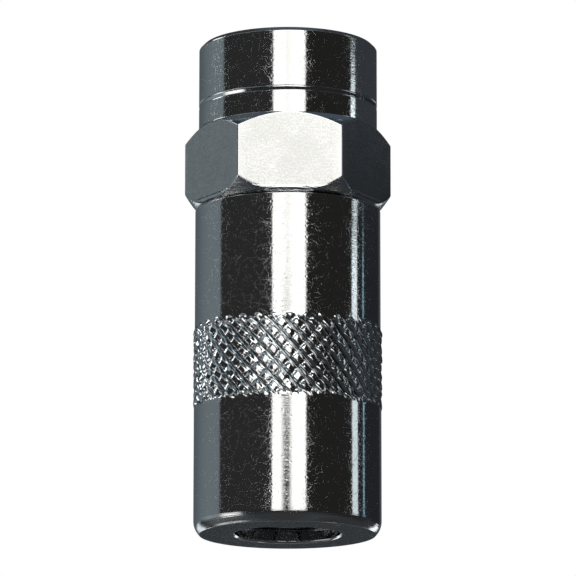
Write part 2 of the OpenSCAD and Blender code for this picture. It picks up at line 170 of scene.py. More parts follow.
# An object in the scene from a mesh and its material
def addObject(name, mesh, material):
    mesh.materials.append(material)
    holder = bpy.data.objects.new(name, mesh)
    bpy.context.scene.collection.objects.link(holder)
    return holder


# A finished piece at the origin that stands for a CAD node and rides on its body
def makePiece(name, mesh, material, body, node):
    piece = addObject(name, mesh, material)
    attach(piece, body)
    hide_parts(node)
    return piece


# Shader nodes

# An input linked to a socket, or set to a value
def feed(tree, socket, value):
    if isinstance(value, bpy.types.NodeSocket):
        tree.links.new(value, socket)
    else:
        socket.default_value = value


# A node with its settings and its inputs, which go by name, or by number after an i
def addNode(tree, kind, settings=None, **inputs):
    node = tree.nodes.new("ShaderNode" + kind)
    for key, value in (settings or {}).items():
        setattr(node, key, value)
    for key, value in inputs.items():
        numbered = key[0] == "i" and key[1:].isdigit()
        feed(tree, node.inputs[int(key[1:]) if numbered else key], value)
    return node


# One operation on two numbers, and below on two vectors
def math2(tree, operation, a, b=0.0):
    return addNode(tree, "Math", {"operation": operation}, i0=a, i1=b).outputs[0]


def vector2(tree, operation, a, b):
    return addNode(tree, "VectorMath", {"operation": operation}, i0=a, i1=b).outputs[0]


# Value turned into a mask that is 0 at the first limit and 1 at the second
def maskBetween(tree, value, first, second):
    limits = {"From Min": first, "From Max": second}
    return addNode(tree, "MapRange", {"interpolation_type": "SMOOTHSTEP"}, Value=value, **limits).outputs[0]


# Sum of a base value and masks, each times its own weight
def weighted(tree, base, *terms):
    total = base
    for mask, weight in terms:
        node = addNode(tree, "Math", {"operation": "MULTIPLY_ADD"}, i0=mask, i1=weight, i2=total)
        total = node.outputs[0]
    return total


# Colour between two by a mask
def mixColor(tree, mask, first, second):
    node = addNode(tree, "Mix", {"data_type": "RGBA"}, Factor=mask)
    for place, value in ((6, first), (7, second)):
        feed(tree, node.inputs[place], (*value, 1) if isinstance(value, tuple) else value)
    return node.outputs[2]


# Bump from masks times their heights, in millimetres
def addBump(tree, shader, *terms):
    bump = addNode(tree, "Bump", Height=weighted(tree, 0.0, *terms), Distance=mm)
    tree.links.new(bump.outputs[0], shader.inputs["Normal"])


# Object coordinates in millimetres, stretched
def stretched(tree, scale):
    coords = addNode(tree, "TexCoord").outputs["Object"]
    return addNode(tree, "Mapping", Vector=coords, Scale=[s / mm for s in scale]).outputs[0]


# Millimetres round the axis and along the outline of a turned surface: the angle times a mean radius, and the
# height plus the radius. The back half mirrors the front, so that the angle has no jump
def wrapped(tree, meanRadius=7.6):
    coords = addNode(tree, "TexCoord").outputs["Object"]
    x, y, z = addNode(tree, "SeparateXYZ", Vector=coords).outputs
    front = math2(tree, "MULTIPLY", math2(tree, "ABSOLUTE", y), -1.0)
    around = math2(tree, "MULTIPLY", math2(tree, "ARCTAN2", front, x), meanRadius)
    squares = [math2(tree, "POWER", side, 2.0) for side in (x, y)]
    radius = math2(tree, "SQRT", math2(tree, "ADD", *squares))
    along = math2(tree, "MULTIPLY", math2(tree, "ADD", z, radius), 1 / mm)
    return addNode(tree, "CombineXYZ", X=around, Y=along).outputs[0]


# Effects

# A node group with number inputs, which have usual values, and number outputs
def newGroup(name, inputs, outputs):
    group = bpy.data.node_groups.new(name, "ShaderNodeTree")
    for socketName, value in inputs.items():
        socket = group.interface.new_socket(name=socketName, in_out="INPUT", socket_type="NodeSocketFloat")
        socket.default_value = value
    for socketName in outputs:
        group.interface.new_socket(name=socketName, in_out="OUTPUT", socket_type="NodeSocketFloat")
    return group, group.nodes.new("NodeGroupInput"), group.nodes.new("NodeGroupOutput")


scratchCells = {
    "sizes": (0.7, 1.3, 2.4),   # of the cells, in millimetres
    "shift": (13.7, 5.1, 0),    # of each size's cells against those before
    "driftScale": 0.55,
    "bend": (2.4, 2.4, 0),
    "breakScale": 1.1,
}


# Hairline scratches: thin borders of flat cells of three sizes, bent by a slow noise and broken up by another
def buildScratches():
    c = scratchCells
    group, given, result = newGroup("hairlineScratches", {"Width": 0.02, "Cover": 0.5}, ["Mask"])
    place = wrapped(group)
    total = None
    for k, size in enumerate(c["sizes"]):
        shifted = vector2(group, "ADD", place, [k * step for step in c["shift"]])
        drift = addNode(group, "TexNoise", Vector=shifted, Scale=c["driftScale"], Detail=1.0)
        bend = vector2(group, "MULTIPLY", drift.outputs["Color"], c["bend"])
        cells = addNode(group, "TexVoronoi", {"feature": "DISTANCE_TO_EDGE", "voronoi_dimensions": "2D"},
                        Vector=vector2(group, "ADD", shifted, bend), Scale=1 / size)
        away = math2(group, "MULTIPLY", cells.outputs["Distance"], size)
        near = math2(group, "LESS_THAN", away, given.outputs["Width"])
        breaks = addNode(group, "TexNoise", {"noise_dimensions": "2D"},
                         Vector=shifted, Scale=c["breakScale"], Detail=1.0)
        shown = math2(group, "LESS_THAN", breaks.outputs["Fac"], given.outputs["Cover"])
        line = math2(group, "MULTIPLY", near, shown)
        total = line if total is None else math2(group, "MAXIMUM", total, line)
    group.links.new(total, result.inputs["Mask"])
    return group


# Pits: the middles of small flat cells, kept only where the cell's own random value is low. A pit is a bowl
# between two distances from its middle, in cells
def buildPits(rim=0.42, floor=0.05):
    group, given, result = newGroup("platingPits", {"Density": 5.0, "Share": 0.3}, ["Mask"])
    cells = addNode(group, "TexVoronoi", {"voronoi_dimensions": "2D"},
                    Vector=wrapped(group), Scale=given.outputs["Density"])
    bowl = maskBetween(group, cells.outputs["Distance"], rim, floor)
    pick = addNode(group, "SeparateColor", Color=cells.outputs["Color"]).outputs[0]
    chosen = math2(group, "LESS_THAN", pick, given.outputs["Share"])
    group.links.new(math2(group, "MULTIPLY", bowl, chosen), result.inputs["Mask"])
    return group


# Turning marks: noise that changes fast along the outline of a turned surface and slowly round it
def buildTurnedLines(roundPace=0.12):
    group, given, result = newGroup("turnedLines", {"Density": 9.0}, ["Height"])
    pace = addNode(group, "CombineXYZ", X=roundPace, Y=given.outputs["Density"]).outputs[0]
    lines = vector2(group, "MULTIPLY", wrapped(group), pace)
    noise = addNode(group, "TexNoise", {"noise_dimensions": "2D"}, Vector=lines, Scale=1.0, Detail=2.0)
    group.links.new(noise.outputs["Fac"], result.inputs["Height"])
    return group


# Mottle: a soft cloud of two noises, one for slow patches and one for fine grain
def buildMottle():
    group, given, result = newGroup("platingMottle", {"Patch": 0.5, "Grain": 6.0}, ["Slow", "Fine"])
    coords = stretched(group, (1, 1, 1))
    for scale, detail, outlet in (("Patch", 3.0, "Slow"), ("Grain", 2.0, "Fine")):
        noise = addNode(group, "TexNoise", Vector=coords, Scale=given.outputs[scale], Detail=detail)
        group.links.new(noise.outputs["Fac"], result.inputs[outlet])
    return group


effects = {
    "scratches": buildScratches(),
    "pits": buildPits(),
    "turnedLines": buildTurnedLines(),
    "mottle": buildMottle(),
}


# A node for one of the effects, with its inputs
def addEffect(tree, effect, **values):
    node = tree.nodes.new("ShaderNodeGroup")
    node.node_tree = effects[effect]
    for key, value in values.items():
        feed(tree, node.inputs[key], value)
    return node


# Materials

def newMaterial(name):
    material = bpy.data.materials.new(name)
    material.use_nodes = True
    return material, material.node_tree, material.node_tree.nodes["Principled BSDF"]


# Bright plating over turned steel: hairlines scatter light, and pits, turning marks and grain bend it a
# little. Heights and depths are in millimetres, and a range gives the noise from no effect to full effect
plating = {
    "color": (0.80, 0.80, 0.80),
    # the groove colour is old oil and painted shade: it darkens the knurl's grooves where shade falls
    "oilShadeColor": (0.38, 0.42, 0.44),   # old oil in the grooves of the knurl
    "roughness": 0.04,
    "scratchRoughness": 0.22,
    "hazeRoughness": 0.10,
    "pitRoughness": 0.08,
    "mottleRoughness": 0.04,
    "scratchWidth": 0.011,      # millimetres
    "rubbedFront": (0, -3),     # x in millimetres over which hairlines gather to the left of the front
    "rubbedLeft": (-6.4, -5),   # and over which they part again at the side
    "rubbedCover": 0.17,        # what that adds to their cover
    "pits": {"Density": 6.0, "Share": 0.16},
    "widePits": {"Density": 3.2, "Share": 0.10},
    "turnedLines": {"Density": 7.0},
    "mottle": {"Patch": 0.45, "Grain": 6.0},
    "patchRange": (0.4, 0.7),
    "grainRange": (0.35, 0.65),
    "hazeRange": (0.46, 0.72),
    "streaks": (1.6, 1.6, 8.0),   # of the brushed flats, to a millimetre along x, y and z
    "cloud": (0.4, 0.65, 0.45),   # weights of patches, grain and streaks in the dull places
    "lineHeight": 0.0014,
    "mottleHeight": 0.004,
    "grainHeight": 0.0013,
    "pitDepth": 0.0022,
    "widePitDepth": 0.0033,
    "cutHeight": 0.03,          # of the turning marks where the surface is rough cut
}

# Places that the plating has worn or never shone: the knurl's tops, and the flats of the hexagon
wornTops = {
    "color": (0.74, 0.75, 0.75),
    # the warm stain is a wear tone and also a painted warm reflection on the tops
    "stain": (0.69, 0.67, 0.64),
    "roughness": 0.08,
    "grain": 0.008,
}
dullFlats = {
    "color": (0.838, 0.833, 0.823),
    "stain": (0.672, 0.667, 0.647),
    "roughness": 0.05,
    "grain": -0.0003,
}


def platingMaterial(name, stainColor, lineGain, pitGain, scratchCover, wornPlaces):
    p = plating
    material, tree, shader = newMaterial(name)
    shader.inputs["Metallic"].default_value = 1
    sideways = addNode(tree, "SeparateXYZ", Vector=stretched(tree, (1, 1, 1))).outputs[0]
    rubbed = math2(tree, "MULTIPLY", maskBetween(tree, sideways, *p["rubbedFront"]),
                   maskBetween(tree, sideways, *p["rubbedLeft"]))
    cover = weighted(tree, scratchCover, (rubbed, p["rubbedCover"]))
    scratches = addEffect(tree, "scratches", Width=p["scratchWidth"], Cover=cover).outputs["Mask"]
    pits = addEffect(tree, "pits", **p["pits"]).outputs["Mask"]
    widePits = addEffect(tree, "pits", **p["widePits"]).outputs["Mask"]
    lines = addEffect(tree, "turnedLines", **p["turnedLines"]).outputs["Height"]
    slow, fine = addEffect(tree, "mottle", **p["mottle"]).outputs
    brushed = addNode(tree, "TexNoise", Vector=stretched(tree, p["streaks"]), Scale=1.0, Detail=2.0)
    patches = maskBetween(tree, slow, *p["patchRange"])
    grain = maskBetween(tree, fine, *p["grainRange"])
    haze = maskBetween(tree, fine, *p["hazeRange"])
    streaks = maskBetween(tree, brushed.outputs["Fac"], *p["grainRange"])
    worn, cut, oilShade = [
        addNode(tree, "Attribute", {"attribute_name": place}).outputs["Fac"]
        for place in ("worn", "cut", "oilShade")
    ]
    # faint stains, a cloud of dull tones where the plating is worn, and oil with painted shade in the grooves
    stained = mixColor(tree, math2(tree, "MULTIPLY", grain, patches), p["color"], stainColor)
    cloud = weighted(tree, 0.0, *zip((patches, grain, streaks), p["cloud"]))
    dull = mixColor(tree, cloud, wornPlaces["color"], wornPlaces["stain"])
    bare = mixColor(tree, worn, stained, dull)
    tree.links.new(mixColor(tree, oilShade, bare, p["oilShadeColor"]), shader.inputs["Base Color"])
    # worn places show no hairlines
    hairlines = math2(tree, "MULTIPLY", scratches, math2(tree, "SUBTRACT", 1.0, worn))
    rough = weighted(
        tree, p["roughness"], (hairlines, p["scratchRoughness"]), (pits, p["pitRoughness"] * pitGain),
        (patches, p["mottleRoughness"]), (haze, p["hazeRoughness"]), (worn, wornPlaces["roughness"]),
    )
    tree.links.new(rough, shader.inputs["Roughness"])
    wornGrain = math2(tree, "MULTIPLY", worn, fine)
    cutLines = math2(tree, "MULTIPLY", cut, lines)
    addBump(
        tree, shader, (lines, p["lineHeight"] * lineGain),
        (slow, p["mottleHeight"]), (fine, p["grainHeight"]),
        (pits, -p["pitDepth"] * pitGain), (widePits, -p["widePitDepth"] * pitGain),
        (wornGrain, wornPlaces["grain"]), (cutLines, p["cutHeight"]),
    )
    return material


# Plain worked steel: turning marks in the roughness and the bump, patches of oil stain in the colour
workedSteel = {
    "mottle": {"Patch": 0.6, "Grain": 8.0},
    "stainRange": (0.35, 0.7),
    "lineRoughness": 0.2,     # spread of the roughness from line to line
    "grainShare": 0.3,        # of the lines' height
}


def steelMaterial(name, color, stain, roughness, lineDensity, lineHeight):
    w = workedSteel
    material, tree, shader = newMaterial(name)
    shader.inputs["Metallic"].default_value = 1
    lines = addEffect(tree, "turnedLines", Density=lineDensity).outputs["Height"]
    slow, fine = addEffect(tree, "mottle", **w["mottle"]).outputs
    patches = maskBetween(tree, slow, *w["stainRange"])
    tree.links.new(mixColor(tree, patches, color, stain), shader.inputs["Base Color"])
    rough = weighted(tree, roughness - w["lineRoughness"] / 2, (lines, w["lineRoughness"]))
    tree.links.new(rough, shader.inputs["Roughness"])
    addBump(tree, shader, (lines, lineHeight), (fine, w["grainShare"] * lineHeight))
    return material


# Moulded rubber: grey patches in the colour, and fine grain in the roughness and the bump
rubber = {
    "color": (0.022, 0.022, 0.023),
    "patch": (0.035, 0.034, 0.033),
    "mottle": {"Patch": 1.2, "Grain": 12.0},
    "patchRange": (0.4, 0.65),
    "roughness": 0.5,
    "grainRoughness": 0.25,
    "grainHeight": 0.01,
}


def rubberMaterial(name):
    material, tree, shader = newMaterial(name)
    slow, fine = addEffect(tree, "mottle", **rubber["mottle"]).outputs
    patches = maskBetween(tree, slow, *rubber["patchRange"])
    tree.links.new(mixColor(tree, patches, rubber["color"], rubber["patch"]), shader.inputs["Base Color"])
    rough = weighted(tree, rubber["roughness"], (fine, rubber["grainRoughness"]))
    tree.links.new(rough, shader.inputs["Roughness"])
    addBump(tree, shader, (fine, rubber["grainHeight"]))
    return material


sleevePlating = platingMaterial(
    "sleevePlating", stainColor=(0.78, 0.77, 0.76), lineGain=1.0, pitGain=0.8, scratchCover=0.45,
    wornPlaces=wornTops)
bodyPlating = platingMaterial(
    "bodyPlating", stainColor=(0.74, 0.73, 0.70), lineGain=0.5, pitGain=0.45, scratchCover=0.42,
    wornPlaces=dullFlats)
hardSteel = steelMaterial(
    "hardSteel", color=(0.34, 0.35, 0.36), stain=(0.22, 0.22, 0.22),
    roughness=0.22, lineDensity=9.0, lineHeight=0.004)
springSteel = steelMaterial(
    "springSteel", color=(0.42, 0.43, 0.44), stain=(0.30, 0.30, 0.31),
    roughness=0.32, lineDensity=14.0, lineHeight=0.002)
pistonBrass = steelMaterial(
    "pistonBrass", color=(0.72, 0.56, 0.29), stain=(0.55, 0.40, 0.19),
    roughness=0.30, lineDensity=9.0, lineHeight=0.004)
ballSteel = steelMaterial(
    "ballSteel", color=(0.78, 0.79, 0.80), stain=(0.70, 0.71, 0.72),
    roughness=0.16, lineDensity=3.0, lineHeight=0.0005)
sealRubber = rubberMaterial("sealRubber")
print("materials ready")


# Nose sleeve

noseSleeve = {
    "wall": 7.81,            # radius below the knurl
    "upper": 7.76,           # radius above the knurl
    "noseRound": 1.57,       # radius of the rounding round the nose
    "noseHeight": 1.14,      # height at which it meets the wall
    "noseSteps": 12,
    "noseCut": 0.35,         # strength of the turning marks on it
    "mouth": 4.4,
    "mouthChamfer": 0.15,
    "mouthWall": 1.0,
    "bore": 6.3,
    "coneTop": 5.075,
    "thread": 6.6,
    "threadStart": 20.9,
    "threadPitch": 1.0,
    "threadDepth": 0.4,
    "threadRows": 4,         # to a turn
    "lead": 0.4,
    "topChamfer": 0.06,
    "topRise": 0.16,         # of the top edge above the plain solid's
    "edge": 0.04,            # rounding of plain edges
}

knurl = {
    "count": 36,             # diamonds round the sleeve
    "rows": 9,               # half rows along the band
    "start": 10.4,
    "length": 6.85,
    "cellRows": 8,           # faces to a half row
    "columns": (0, 0.045, 0.09, 0.16, 0.235, 0.29, 0.36, 0.43, 0.5),   # from a groove to a ridge's middle
    "deepGroove": 0.23,      # depth of the grooves that fall to the right
    "deepFloor": 0.05,       # half width of their floor, as a share of the pitch
    "deepWidth": 0.25,       # half width of the groove
    "shoulder": 0.075,       # drop of the gentle slope that leads into the groove from below
    "shoulderFloor": 0.1,
    "shoulderWidth": 0.48,
    "crossGroove": 0.14,     # depth of the notches that climb to the right
    "crossFloor": 0.04,
    "crossWidth": 0.26,
    "crossStop": (0.75, 1.4),   # distance from a deep groove over which a notch begins, in its half widths
    "crossEnd": (0.15, 0.5),    # and from a ridge's end, in half rows
    "burr": 0.02,            # ridge thrown up along both sides of the deep grooves
    "burrPlace": 1.05,       # its distance from the groove's middle, in half widths of the groove
    "burrWidth": 0.2,        # and its own half width
    "crown": 0.036,          # drop from the middle of a diamond to its sides
    "lean": 0.075,           # drop across a diamond, from the left side of its top to the right
    "heightJitter": 0.03,
    "tiltJitter": 0.11,
    "widthJitter": 0.22,
    "depthJitter": 0.25,
    "shoulderJitter": 0.3,
    "placeJitter": 0.04,
    "jitterRows": 24,        # after which the jitter repeats along the band
    # the two ranges and the share below set where the grooves get old oil and painted shade
    "deepOilShade": (0.5, 1),   # depth of the grooves over which oil gathers
    "crossOilShade": (0.6, 1),
    "crossOilShadeShare": 0.7,
    "scallop": 0.62,         # height of the rounded ends of the ridges, in half rows
    "runOut": 0.14,          # length over which a ridge drops to the sleeve at its end, in half rows
    "seed": 7,
}


# Depth of a groove with a flat floor: 1 up to the floor's half width, then an even slope to its edge
def groove(near, floor, width):
    return np.clip((width - near) / (width - floor), 0, 1)


# Drop of the surface below the tops of the diamonds, in millimetres, how much of a top each point is, and how
# much of a groove's floor. Two families of grooves lie at whole values of a = u + v / 2 and b = u - v / 2,
# where u counts diamonds round the sleeve and v half rows along it. The notches of the b family stop at the
# burrs beside the deep grooves of the a family and short of the ridges' ends, and each diamond has its own
# small height and tilt from a seeded table
def knurlDrop(a, v, fromEnd):
    k = knurl
    table = np.random.default_rng(k["seed"]).uniform(-1, 1, (4, k["jitterRows"], k["count"]))
    a = a + 1e-6    # so that a point on a groove counts to one side of it
    b = a - v
    row = (np.floor(a) - np.floor(b)).astype(int) % k["jitterRows"]
    column = np.floor(a).astype(int) % k["count"]
    lift, tiltAcross, tiltAlong, shift = table[:, row, column]
    fromA = a - np.floor(a) - 0.5    # -0.5 to 0.5 across a diamond
    fromB = b - np.floor(b) - 0.5
    nearA, nearB = 0.5 - np.abs(fromA), 0.5 - np.abs(fromB)   # distance from the groove, in pitches
    deepWidth = k["deepWidth"] * (1 + k["widthJitter"] * tiltAlong)
    crossWidth = k["crossWidth"] * (1 + k["widthJitter"] * tiltAcross)
    crossStop = k["deepWidth"] * np.array(k["crossStop"])
    deep = groove(nearA, k["deepFloor"], deepWidth)
    cross = groove(nearB + k["placeJitter"] * shift, k["crossFloor"], crossWidth)
    cross = cross * smoothStep(nearA, *crossStop) * smoothStep(fromEnd, *k["crossEnd"])
    burr = k["burr"] * np.exp(-((nearA / deepWidth - k["burrPlace"]) / k["burrWidth"]) ** 2)
    shoulder = groove(nearA, k["shoulderFloor"], k["shoulderWidth"]) * (fromA > 0)
    shoulder = shoulder * k["shoulder"] * (1 + k["shoulderJitter"] * shift)
    top = (1 - deep) * (1 - cross)
    rough = k["heightJitter"] * 0.5 * (1 + lift) + k["crown"] * 4 * (fromA ** 2 + fromB ** 2)
    rough = rough + k["tiltJitter"] * (tiltAcross * fromA + tiltAlong * fromB) * top
    rough = rough + k["lean"] * (fromA + 0.5) * top
    notch = k["crossGroove"] * (1 + k["depthJitter"] * lift) * cross
    drop = k["deepGroove"] * deep + notch + rough + k["burr"] - burr + shoulder * (1 - deep)
    # darker colour deep in the grooves: old oil and painted shade
    oilShade = np.maximum(smoothStep(deep, *k["deepOilShade"]), k["crossOilShadeShare"] * smoothStep(cross, *k["crossOilShade"]))
    return np.clip(drop, 0, None), top * (0.5 + 0.5 * shift), oilShade


# Sleeve: a closed half section carried round the axis, with the drop of the knurl taken from its radius and
# the groove of the thread added to its bore
def buildNoseSleeve():
    s, k = noseSleeve, knurl
    _, high = nodeBox("nose_sleeve")
    top, knurlRadius = high[2] + s["topRise"], high[0]
    edge = s["edge"]
    sweep = np.arcsin(s["noseHeight"] / s["noseRound"])
    arc = np.linspace(-sweep, 0, s["noseSteps"])[1:]
    arcRadius = s["wall"] - s["noseRound"] + s["noseRound"] * np.cos(arc)
    arcHeight = s["noseHeight"] + s["noseRound"] * np.sin(arc)
    faceEdge = s["wall"] - s["noseRound"] + s["noseRound"] * np.cos(sweep)
    rowStep = k["length"] / k["rows"]
    knurlHeights = k["start"] + rowStep * np.arange(-2, k["rows"] * k["cellRows"] + 3) / k["cellRows"]
    threadLow, threadTop = s["threadStart"], top - s["lead"]
    threadRows = int((threadTop - threadLow) / s["threadPitch"] * s["threadRows"])
    threadHeights = np.linspace(threadTop - 0.1, threadLow + 0.1, threadRows)
    section = roundedSection([
        (s["mouth"] + s["mouthChamfer"], 0, edge, 2),
        (0.5 * (s["mouth"] + faceEdge), 0, 0),
        (faceEdge, 0, 0.5 * edge, 2),
        *[(r, z, 0) for r, z in zip(arcRadius, arcHeight)],
        *straight(s["wall"], np.linspace(s["noseHeight"] + 0.1, k["start"] - 0.4, 3)),
        *straight(s["wall"], knurlHeights),
        *straight(s["upper"], np.linspace(k["start"] + k["length"] + 0.4, top - 0.5, 3)),
        (s["upper"], top - s["topChamfer"], edge, 3),
        (s["upper"] - s["topChamfer"], top, edge, 3),
        (s["thread"] + s["lead"], top, edge, 1),
        (s["thread"], threadTop, edge, 1),
        *straight(s["thread"], threadHeights),
        (s["thread"], threadLow, edge, 1),
        (s["bore"], threadLow, edge, 1),
        (s["bore"], s["coneTop"], edge, 1),
        (s["mouth"], s["mouthWall"], edge, 2),
        (s["mouth"], s["mouthChamfer"], edge, 2),
    ])
    # columns follow the deep grooves of the knurl: they lean by half a diamond over each half row of the
    # band, and inside the sleeve they keep the turn that they have at its top
    half = np.array(k["columns"])
    ridge = np.concatenate([half, 1 - half[-2:0:-1]])
    a = (np.arange(k["count"])[:, None] + ridge[None, :]).ravel()[None, :]
    radius, height, a = np.broadcast_arrays(section[:, 0, None], section[:, 1, None], a)
    v = (height - k["start"]) / rowStep
    afterTop = np.arange(len(section)) > np.argmax(section[:, 1])
    turn = np.where(afterTop[:, None], k["rows"], np.clip(v, 0, k["rows"])) / 2
    seamShift = -round(k["rows"] / 2 * len(ridge))
    angle = (a - turn) * 2 * np.pi / k["count"]
    # knurl band: the sleeve's radius swells to the tops of the diamonds, and the ridges end in round arches
    outside = (radius > s["bore"] + 0.8) & (height < top - 1) & (height > s["noseHeight"])
    ends = k["scallop"] * (1 - np.abs(np.sin(np.pi * a)))
    fromEnd = np.minimum(v, k["rows"] - v) - ends
    inside = smoothStep(fromEnd, -k["runOut"], k["runOut"])
    plain = s["wall"] + (s["upper"] - s["wall"]) * smoothStep(v, k["rows"] * 0.5, k["rows"] * 0.5 + 1)
    drop, tops, oilShade = knurlDrop(a, v, fromEnd)
    banded = plain + (knurlRadius - plain - drop) * inside
    radius = np.where(outside, banded, radius)
    # thread inside, which fades out at both ends
    thread = s["threadDepth"] * threadGroove(height, angle, s["threadPitch"])
    fade = plateau(height, threadLow + 0.1, threadLow + 0.6, threadTop - 0.3, threadTop)
    threaded = (np.abs(radius - s["thread"]) < 0.01) & (height > threadLow)
    radius = np.where(threaded, radius + thread * fade, radius)
    cells = gridCells(*radius.shape, seamShift=seamShift)
    mesh = makeMesh("nose_sleeve_turned", turned(radius, height, angle), cells)
    paint(mesh, "worn", np.where(outside, inside * tops ** 2, 0))
    # old oil and painted shade deep in the knurl's grooves
    paint(mesh, "oilShade", np.where(outside, inside * oilShade, 0))
    noseEdge = plateau(height, 0.02, 0.15, s["noseHeight"] - 0.3, s["noseHeight"])
    paint(mesh, "cut", np.where(radius > faceEdge - 0.1, s["noseCut"] * noseEdge, 0))
    makePiece("nose_sleeve_turned", mesh, sleevePlating, "sleeve", "nose_sleeve")
    print("nose sleeve", len(mesh.polygons), "faces")


# Inlet body

inletBody = {
    "flatColumns": 26,        # columns across a flat of the hexagon
    "cornerColumns": 8,       # columns round a corner of it
    "cornerRound": 0.12,
    "cornerShine": 0.75,      # how far the dull flats shine again towards a corner
    "shineRange": (0.84, 0.97),   # and where, from the middle of a flat to the corner
    "chamferRound": 0.03,     # rounding between a flat and the upper chamfer
    "lowChamferRound": 0.09,  # and between a flat and the lower one
    "lowRound": 0.40,         # rounding of the underside's rim
    "hexHeight": 6.79,
    "hexLow": 7.63,           # radius of the chamfer circle under the hexagon
    "hexLowAngle": 38,        # of that chamfer from the axis, in degrees
    "collar": 7.49,
    "collarHeight": 7.3,
    "collarChamfer": 0.35,
    "groovePlace": 1.83,      # lower edge of the groove above the hexagon
    "grooveWidth": 0.30,
    "grooveDepth": 0.095,
    "scribePlace": 2.23,      # fine line above the groove
    "scribeWidth": 0.05,
    "scribeDepth": 0.03,
    "inlet": 4.5,
    "inletDepth": 8.6,
    "inletChamfer": 0.6,
    "threadPitch": 1.0,
    "inletThreadDepth": 0.5,
    "spigot": 6.55,
    "spigotThreadDepth": 0.4,
    "threadRows": 12,         # to a turn
    "spigotLength": 5.85,
    "spigotChamfer": 0.4,
    "reliefWidth": 0.8,
    "relief": 6.15,
    "tube": 4.6,
    "tubeChamfer": 0.25,
    "pistonBore": 3.35,
    "pistonBoreTop": 20.463,
    "snapGroove": 3.9,
    "snapLow": 13.713,
    "snapHigh": 14.313,
    "chamber": 2.45,
    "chamberTop": 25.463,
    "passage": 1.3,
    "drillAngle": 118,
    "edge": 0.05,
}


# Radius of the hexagon at an angle from the middle of a flat, with rounded corners: a flat is d / cos(angle),
# and a corner is the far side of a small circle that touches both flats
def hexRadius(angle, flat, rounding):
    fromFlat = (angle + np.pi / 6) % (np.pi / 3) - np.pi / 6
    fromCorner = np.pi / 6 - np.abs(fromFlat)
    centre = (flat - rounding) / np.cos(np.pi / 6)
    touch = np.arctan2(rounding * 0.5, centre + rounding * np.cos(np.pi / 6))
    inside = np.clip(rounding ** 2 - (centre * np.sin(fromCorner)) ** 2, 0, None)
    corner = centre * np.cos(fromCorner) + np.sqrt(inside)
    return np.where(fromCorner < touch, corner, flat / np.cos(fromFlat)), touch


